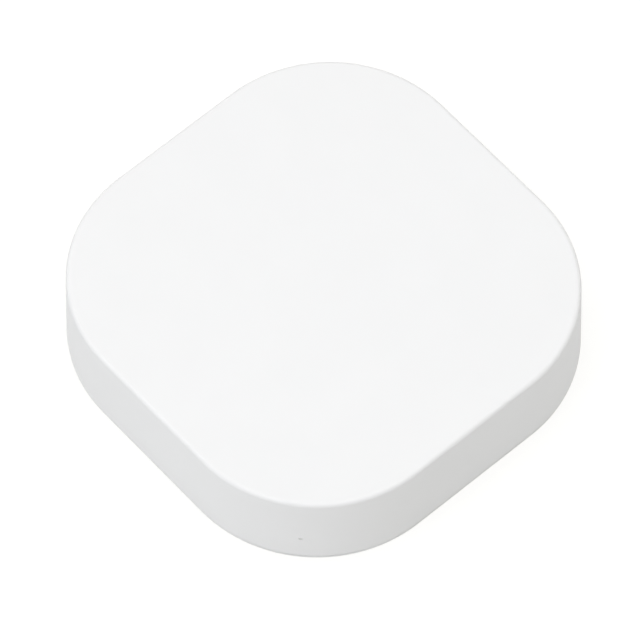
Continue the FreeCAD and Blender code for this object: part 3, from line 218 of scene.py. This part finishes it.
def split_axes(tree, vector):
    """The X, Y and Z of a vector, or the red, green and blue of a colour."""
    node = tree.nodes.new("ShaderNodeSeparateXYZ")
    tree.links.new(vector, node.inputs[0])
    return node.outputs


def mixed(tree, factor, a, b):
    """Colour between a and b; each is a plain colour or another pattern's colour."""
    node = add(tree, "ShaderNodeMix", {"data_type": "RGBA"})
    tree.links.new(factor, node.inputs["Factor"])
    sockets = [s for s in node.inputs if s.type == "RGBA"]
    for socket, color in zip(sockets, (a, b)):
        if isinstance(color, tuple):
            socket.default_value = (*color, 1.0)
        else:
            tree.links.new(color, socket)
    return [s for s in node.outputs if s.type == "RGBA"][0]


def relief(tree, height, depth, below=None):
    """Bump of a depth in metres, on top of another bump."""
    node = add(tree, "ShaderNodeBump", None, {"Strength": 1.0, "Distance": depth})
    tree.links.new(height, node.inputs["Height"])
    if below is not None:
        tree.links.new(below, node.inputs["Normal"])
    return node.outputs["Normal"]


def feed(tree, shader, **outputs):
    """Joins patterns to the shader's colour, roughness, metal share or normal."""
    sockets = {"color": "Base Color", "roughness": "Roughness", "metallic": "Metallic", "normal": "Normal"}
    for key, output in outputs.items():
        tree.links.new(output, shader.inputs[sockets[key]])


def uneven(tree, pattern, roughness, smoother, rougher):
    """Roughness that follows a noise pattern's usual range."""
    return spread(tree, pattern, NOISE_LOW, NOISE_HIGH, roughness - smoother, roughness + rougher)


def wear(tree, shader, vector, roughness, spots, size=6 * MM):
    """Roughness that drifts a little over the surface."""
    drift = grain(tree, vector, size, detail=3.0)
    feed(tree, shader, roughness=uneven(tree, drift, roughness, spots, spots))


def scaled(color, factor):
    """Colour made lighter or darker."""
    return tuple(min(1.0, c * factor) for c in color)


# ---- Finishes -------------------------------------------------------------------------------------
POLYCARBONATE_IOR = 1.57
EDGE_BLUR = 0.08  # of a fleck or a stripe, in steps of its pattern


def moulded(name, color, roughness, texture=0.35 * MM, depth=0.006 * MM, drift=0.03, tone=0.012,
            settings=None):
    """Moulded plastic: fine spark-eroded grain, faint flow clouds, gloss that drifts a little."""
    material, tree, shader = plain(name, color, roughness, settings)
    where = place(tree)
    clouds = grain(tree, where, 22 * MM)
    share = spread(tree, clouds, low=0.35, high=0.65)
    feed(tree, shader, color=mixed(tree, share, scaled(color, 1.0 - tone), scaled(color, 1.0 + tone)))
    wear(tree, shader, where, roughness, spots=drift)
    fine = relief(tree, cells(tree, where, texture), depth)
    feed(tree, shader, normal=relief(tree, grain(tree, where, 0.9 * MM), 0.7 * depth, fine))
    return material


def rubber(name, color, roughness=0.75):
    """Soft moulded rubber with a dusty, pitted skin."""
    material, tree, shader = plain(name, color, roughness, {"Specular IOR Level": 0.35})
    where = place(tree)
    dust = grain(tree, where, 1.6 * MM, detail=4.0)
    share = spread(tree, dust, low=0.4, high=0.75)
    feed(tree, shader, color=mixed(tree, share, color, scaled(color, 1.12)))
    wear(tree, shader, where, roughness, spots=0.08, size=3 * MM)
    feed(tree, shader, normal=relief(tree, grain(tree, where, 0.18 * MM, detail=3.0), 0.012 * MM))
    return material


def metal(name, color, roughness, stretch=(1, 1, 1), line=0.12 * MM, depth=0.003 * MM, tarnish=0.1):
    """Plated or drawn metal: fine lines along one axis and a slightly uneven colour."""
    material, tree, shader = plain(name, color, roughness, {"Metallic": 1.0})
    along = place(tree, stretch=stretch)
    where = place(tree)
    stain = grain(tree, where, 3.5 * MM, detail=4.0)
    share = spread(tree, stain, low=0.35, high=0.7)
    feed(tree, shader, color=mixed(tree, share, color, scaled(color, 1.0 - tarnish)))
    lines = grain(tree, along, line, detail=3.0)
    feed(tree, shader, roughness=uneven(tree, lines, roughness, smoother=0.07, rougher=0.09),
         normal=relief(tree, lines, depth))
    return material


def tinned(name, color, roughness):
    """Tinned sheet: crystal spangles, soft dents."""
    material, tree, shader = plain(name, color, roughness, {"Metallic": 1.0})
    where = place(tree)
    spangle = cells(tree, where, 1.3 * MM, output="Color")
    tone = split_axes(tree, spangle)[0]
    gloss = spread(tree, tone, 0.0, 1.0, roughness - 0.06, roughness + 0.1)
    dents = relief(tree, grain(tree, where, 5 * MM, detail=1.0), 0.05 * MM)
    feed(tree, shader, color=mixed(tree, tone, scaled(color, 0.86), scaled(color, 1.08)), roughness=gloss,
         normal=relief(tree, grain(tree, where, 0.15 * MM), 0.002 * MM, dents))
    return material


def see_through(name, color, roughness, transmission):
    """Clear or tinted plastic with faint flow marks."""
    settings = {"Transmission Weight": transmission, "IOR": POLYCARBONATE_IOR}
    material, tree, shader = plain(name, color, roughness, settings)
    where = place(tree)
    haze = grain(tree, where, 1.2 * MM, detail=3.0)
    feed(tree, shader, color=mixed(tree, haze, scaled(color, 0.94), color),
         roughness=uneven(tree, haze, roughness, smoother=0.0, rougher=0.12),
         normal=relief(tree, grain(tree, where, 0.6 * MM, detail=1.0), 0.003 * MM))
    return material


def speckled(name, color, fleck, roughness, size=0.25 * MM, depth=0.008 * MM, share=0.62):
    """Fired or filled body with flecks of another tone."""
    material, tree, shader = plain(name, color, roughness)
    where = place(tree)
    flecks = grain(tree, where, size, detail=3.0)
    feed(tree, shader, color=mixed(tree, spread(tree, flecks, share, share + EDGE_BLUR), color, fleck),
         normal=relief(tree, flecks, depth))
    wear(tree, shader, where, roughness, spots=0.06, size=2.5 * MM)
    return material


def circuit_board(name, resist, trace, tin, weave):
    """Board with lines of copper under its resist, tinned vias whose holes carry painted shade, and the
    glass weave just showing.
    """
    field_size, trace_pitch, via_pitch, fibre_pitch = 7 * MM, 0.8 * MM, 3.4 * MM, 0.5 * MM
    trace_level, bare_share, pour_level = 0.62, 0.35, 0.78
    ring_radius, hole_radius = 0.11, 0.045  # shares of the pitch
    gloss = {"Coat Weight": 0.3, "Coat Roughness": 0.15}
    material, tree, shader = plain(name, resist, 0.32, gloss)
    where = place(tree)
    field = split_axes(tree, cells(tree, where, field_size, metric="CHEBYCHEV", output="Color"))
    across, along = (math_node(tree, "GREATER_THAN", bands(tree, where, trace_pitch, axis), trace_level)
                     for axis in "XY")
    turned = math_node(tree, "GREATER_THAN", field[0], 0.5)
    level = math_node(tree, "SUBTRACT", 1.0, turned)
    lines = math_node(tree, "ADD", math_node(tree, "MULTIPLY", across, turned),
                      math_node(tree, "MULTIPLY", along, level))
    lines = math_node(tree, "MULTIPLY", lines, math_node(tree, "GREATER_THAN", field[1], bare_share))
    pour = math_node(tree, "GREATER_THAN", field[2], pour_level)
    copper = math_node(tree, "MAXIMUM", lines, pour)
    hole_distance = cells(tree, where, via_pitch)
    ring = math_node(tree, "LESS_THAN", hole_distance, ring_radius)
    hole = math_node(tree, "LESS_THAN", hole_distance, hole_radius)
    fibres = math_node(tree, "MULTIPLY", *(bands(tree, where, fibre_pitch, axis) for axis in "XY"))
    ground = mixed(tree, math_node(tree, "MULTIPLY", fibres, weave), resist, scaled(resist, 1.35))
    tone = mixed(tree, copper, ground, trace)
    tone = mixed(tree, ring, tone, tin)
    step = relief(tree, copper, 0.03 * MM)
    # the holes' dark colour is painted shade inside the vias
    feed(tree, shader, color=mixed(tree, hole, tone, scaled(resist, 0.3)),
         metallic=math_node(tree, "MULTIPLY", math_node(tree, "SUBTRACT", ring, hole), 0.9),
         normal=relief(tree, hole, -0.1 * MM, step))
    return material


def film(name, color, roughness, crease=6 * MM, depth=0.12 * MM, settings=None):
    """Thin film or shrink sleeve, drawn tight with a few creases; its colour is darker in the creases'
    hollows and lighter on their ridges, as painted shade and painted highlight.
    """
    material, tree, shader = plain(name, color, roughness, settings)
    where = place(tree)
    folds = grain(tree, where, crease, detail=3.0, distortion=0.6)
    share = spread(tree, folds, NOISE_LOW, NOISE_HIGH)
    # colour follows the folds' height: painted shade in their hollows, painted highlight on their ridges
    feed(tree, shader, color=mixed(tree, share, scaled(color, 0.94), scaled(color, 1.05)),
         normal=relief(tree, folds, depth))
    wear(tree, shader, where, roughness, spots=0.06, size=4 * MM)
    return material


def striped(name, color, stripe, roughness, axis, pitch, share, depth=0.02 * MM, settings=None):
    """Turns of tape or wire, or a printed stripe, that repeat along one axis; on wire the dark stripe is
    painted shade standing for the gaps between turns.
    """
    material, tree, shader = plain(name, color, roughness, settings)
    where = place(tree)
    turns = bands(tree, where, pitch, axis)
    edge = spread(tree, turns, share, share + 1.5 * EDGE_BLUR)
    wear(tree, shader, where, roughness, spots=0.06, size=3 * MM)
    fine = relief(tree, grain(tree, where, 0.3 * MM), 0.006 * MM)
    feed(tree, shader, color=mixed(tree, edge, color, stripe), normal=relief(tree, turns, depth, fine))
    return material


def woven(name, color, roughness, pitch=0.55 * MM):
    """Hook-and-loop strap: tight over-and-under fuzzy weave; its colour has painted shade in the weave's
    hollows and painted sheen on its ridges.
    """
    material, tree, shader = plain(name, color, roughness, {"Sheen Weight": 0.4, "Sheen Roughness": 0.5})
    where = place(tree)
    weave = math_node(tree, "MAXIMUM", *(bands(tree, where, pitch, axis) for axis in "XY"))
    fuzz_shade_and_sheen = math_node(tree, "MULTIPLY", weave, grain(tree, where, 0.2 * MM, detail=3.0))
    # colour darker in the weave's hollows as painted shade, lighter on its fuzzy ridges as painted sheen
    feed(tree, shader, color=mixed(tree, fuzz_shade_and_sheen, scaled(color, 0.6), scaled(color, 1.7)),
         normal=relief(tree, weave, 0.12 * MM))
    wear(tree, shader, where, roughness, spots=0.05, size=2 * MM)
    return material


def middle(low, high):
    """Centre of a box."""
    return [(a + b) / 2 for a, b in zip(low, high)]


def framed_label(name, color, line, roughness, node_name):
    """Blank satin film with one thin printed line just inside its edge."""
    material, tree, shader = plain(name, color, roughness, {"Metallic": 0.55})
    low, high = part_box(node_name)
    centre = middle(low, high)
    half = [(b - a) / 2 for a, b in zip(low, high)]
    inset, width = 1.6 * MM, 0.35 * MM
    axes = split_axes(tree, place(tree, centre))
    gaps = [math_node(tree, "SUBTRACT", half[i], math_node(tree, "ABSOLUTE", axes[i])) for i in (0, 1)]
    gap = math_node(tree, "MINIMUM", gaps[0], gaps[1])
    off_line = math_node(tree, "ABSOLUTE", math_node(tree, "SUBTRACT", gap, inset))
    on_line = math_node(tree, "LESS_THAN", off_line, width / 2)
    where = place(tree)
    ground = mixed(tree, grain(tree, where, 9 * MM), scaled(color, 0.96), scaled(color, 1.03))
    brushed = grain(tree, place(tree, stretch=(0.02, 1, 1)), 0.15 * MM)
    feed(tree, shader, color=mixed(tree, on_line, ground, line), normal=relief(tree, brushed, 0.002 * MM),
         roughness=uneven(tree, brushed, roughness, smoother=0.05, rougher=0.08))
    return material


def marked_button(name, color, mark, roughness, node_name):
    """Satin plastic with a ring-and-bar on/off mark printed on its face."""
    material, tree, shader = plain(name, color, roughness)
    ring_radius, line = 1.35 * MM, 0.32 * MM
    gap_half, bar_middle, bar_half = 1.7 * line, 0.85 * ring_radius, 0.55 * ring_radius
    x, y, z = split_axes(tree, place(tree, middle(*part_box(node_name))))
    squares = math_node(tree, "ADD", math_node(tree, "MULTIPLY", x, x), math_node(tree, "MULTIPLY", z, z))
    past_ring = math_node(tree, "SUBTRACT", math_node(tree, "SQRT", squares), ring_radius)
    ring = math_node(tree, "LESS_THAN", math_node(tree, "ABSOLUTE", past_ring), line / 2)
    from_middle = math_node(tree, "ABSOLUTE", x)
    gap = math_node(tree, "MULTIPLY", math_node(tree, "LESS_THAN", from_middle, gap_half),
                    math_node(tree, "GREATER_THAN", z, 0.0))
    ring = math_node(tree, "MULTIPLY", ring, math_node(tree, "SUBTRACT", 1.0, gap))
    along_bar = math_node(tree, "ABSOLUTE", math_node(tree, "SUBTRACT", z, bar_middle))
    bar = math_node(tree, "MULTIPLY", math_node(tree, "LESS_THAN", from_middle, line / 2),
                    math_node(tree, "LESS_THAN", along_bar, bar_half))
    printed = math_node(tree, "MULTIPLY", math_node(tree, "MAXIMUM", ring, bar),
                        math_node(tree, "GREATER_THAN", y, 0.0))
    where = place(tree)
    ground = mixed(tree, grain(tree, where, 4 * MM), scaled(color, 0.98), scaled(color, 1.03))
    wear(tree, shader, where, roughness, spots=0.04, size=2 * MM)
    fine = relief(tree, cells(tree, where, 0.2 * MM), 0.004 * MM)
    feed(tree, shader, color=mixed(tree, printed, ground, mark),
         normal=relief(tree, printed, 0.01 * MM, fine))
    return material


STEEL = (0.55, 0.55, 0.57)
TIN = (0.75, 0.72, 0.66)
PIN_LINES = (6, 1, 6)  # drawn along Y
FINISHES = {
    "shell_white": lambda n: moulded(n, (0.78, 0.78, 0.778), 0.6, drift=0.012, tone=0.004,
                                     settings={"Specular IOR Level": 0.35}),
    "base_white": lambda n: moulded(n, (0.76, 0.76, 0.755), 0.5, texture=0.3 * MM, depth=0.01 * MM),
    "port_plate_grey": lambda n: moulded(n, (0.66, 0.665, 0.665), 0.5, texture=0.3 * MM, depth=0.01 * MM),
    "button_grey": lambda n: marked_button(n, (0.5, 0.51, 0.52), (0.9, 0.9, 0.9), 0.38, "power_button"),
    "foot_rubber": lambda n: rubber(n, (0.27, 0.28, 0.29)),
    "screw_steel": lambda n: metal(n, STEEL, 0.33, stretch=(1, 1, 8)),
    "label_silver": lambda n: framed_label(n, (0.62, 0.62, 0.63), (0.2, 0.2, 0.21), 0.42, "rating_label"),
    "socket_black": lambda n: moulded(n, (0.018, 0.018, 0.02), 0.45, texture=0.4 * MM, depth=0.01 * MM,
                                      drift=0.06, tone=0.1),
    "nickel": lambda n: metal(n, (0.72, 0.70, 0.66), 0.2, PIN_LINES, line=0.2 * MM, depth=0.001 * MM),
    "jack_black": lambda n: moulded(n, (0.024, 0.024, 0.027), 0.3, texture=0.5 * MM, drift=0.05, tone=0.1),
    "contact_gold": lambda n: metal(n, (0.86, 0.63, 0.28), 0.2, PIN_LINES, line=0.2 * MM, depth=0.001 * MM,
                                    tarnish=0.12),
    "lamp_tint": lambda n: see_through(n, (0.45, 0.75, 0.3), 0.2, transmission=0.6),
    "can_tin": lambda n: tinned(n, (0.68, 0.68, 0.67), 0.3),
    "tray_white": lambda n: moulded(n, (0.68, 0.68, 0.67), 0.42, texture=0.3 * MM),
    "card_white": lambda n: moulded(n, (0.84, 0.84, 0.86), 0.3, texture=0.6 * MM, depth=0.003 * MM,
                                    drift=0.04),
    "switch_black": lambda n: moulded(n, (0.022, 0.022, 0.025), 0.35, texture=0.4 * MM, depth=0.008 * MM,
                                      drift=0.06, tone=0.1),
    "acetal_white": lambda n: moulded(n, (0.72, 0.7, 0.64), 0.35, texture=0.5 * MM, depth=0.004 * MM),
    "spring_steel": lambda n: metal(n, STEEL, 0.25, line=0.1 * MM, depth=0.002 * MM, tarnish=0.15),
    "lamp_white": lambda n: speckled(n, (0.86, 0.8, 0.45), (0.9, 0.7, 0.3), 0.4, size=0.15 * MM),
    "clear_plastic": lambda n: see_through(n, (0.78, 0.78, 0.77), 0.45, transmission=0.25),
    "board_green": lambda n: circuit_board(n, (0.012, 0.1, 0.045), (0.03, 0.2, 0.085), TIN, weave=0.5),
    "board_tan": lambda n: circuit_board(n, (0.28, 0.19, 0.07), (0.36, 0.25, 0.1), TIN, weave=0.8),
    "coax_grey": lambda n: film(n, (0.04, 0.04, 0.045), 0.4, crease=2 * MM, depth=0.02 * MM),
    "chip_black": lambda n: speckled(n, (0.018, 0.018, 0.019), (0.05, 0.05, 0.052), 0.5, size=0.12 * MM,
                                     depth=0.005 * MM),
    "pad_blue": lambda n: rubber(n, (0.12, 0.25, 0.45), 0.8),
    "sink_black": lambda n: metal(n, (0.06, 0.06, 0.066), 0.42, stretch=(1, 0.1, 1), line=0.15 * MM,
                                  depth=0.005 * MM, tarnish=0.2),
    "chip_ceramic": lambda n: speckled(n, (0.3, 0.2, 0.11), (0.42, 0.31, 0.2), 0.45),
    "ferrite": lambda n: speckled(n, (0.03, 0.03, 0.034), (0.09, 0.09, 0.1), 0.5, size=0.3 * MM,
                                  depth=0.015 * MM, share=0.58),
    "winding_tape": lambda n: striped(n, (0.75, 0.5, 0.02), (0.55, 0.33, 0.01), 0.3, "Z", pitch=4.5 * MM,
                                      share=0.8),
    "capacitor_sleeve": lambda n: film(n, (0.02, 0.03, 0.07), 0.3, crease=5 * MM, depth=0.03 * MM),
    # its dark stripe once per turn is painted shade standing for the gaps between the wire's turns
    "choke_copper": lambda n: striped(n, (0.72, 0.27, 0.12), (0.3, 0.08, 0.03), 0.3, "Z", pitch=0.6 * MM,
                                      share=0.75, depth=0.12 * MM, settings={"Metallic": 0.8}),
    "fuse_glass": lambda n: see_through(n, (0.85, 0.88, 0.86), 0.1, transmission=0.7),
    "capacitor_yellow": lambda n: film(n, (0.75, 0.5, 0.03), 0.35, crease=4 * MM, depth=0.04 * MM),
    "barrier_film": lambda n: film(n, (0.62, 0.62, 0.58), 0.45, crease=12 * MM, depth=0.05 * MM),
    "cell_wrap": lambda n: film(n, (0.03, 0.12, 0.3), 0.28, crease=9 * MM, depth=0.15 * MM,
                                settings={"Coat Weight": 0.4}),
    "strap_black": lambda n: woven(n, (0.03, 0.03, 0.032), 0.85),
    "lead_red": lambda n: film(n, (0.5, 0.02, 0.02), 0.4, crease=2 * MM, depth=0.02 * MM),
}


def dress_nodes():
    """Every CAD node gets the finish of its record slot."""
    made = {}
    for node in nodes.values():
        for slot in node.material_slots:
            bare = slot.material
            if bare not in made:
                name = bare.name
                bare.name = name + "_bare"
                made[bare] = FINISHES[name](name)
            slot.material = made[bare]


make_camera()
make_lights()
make_table()
dress_nodes()
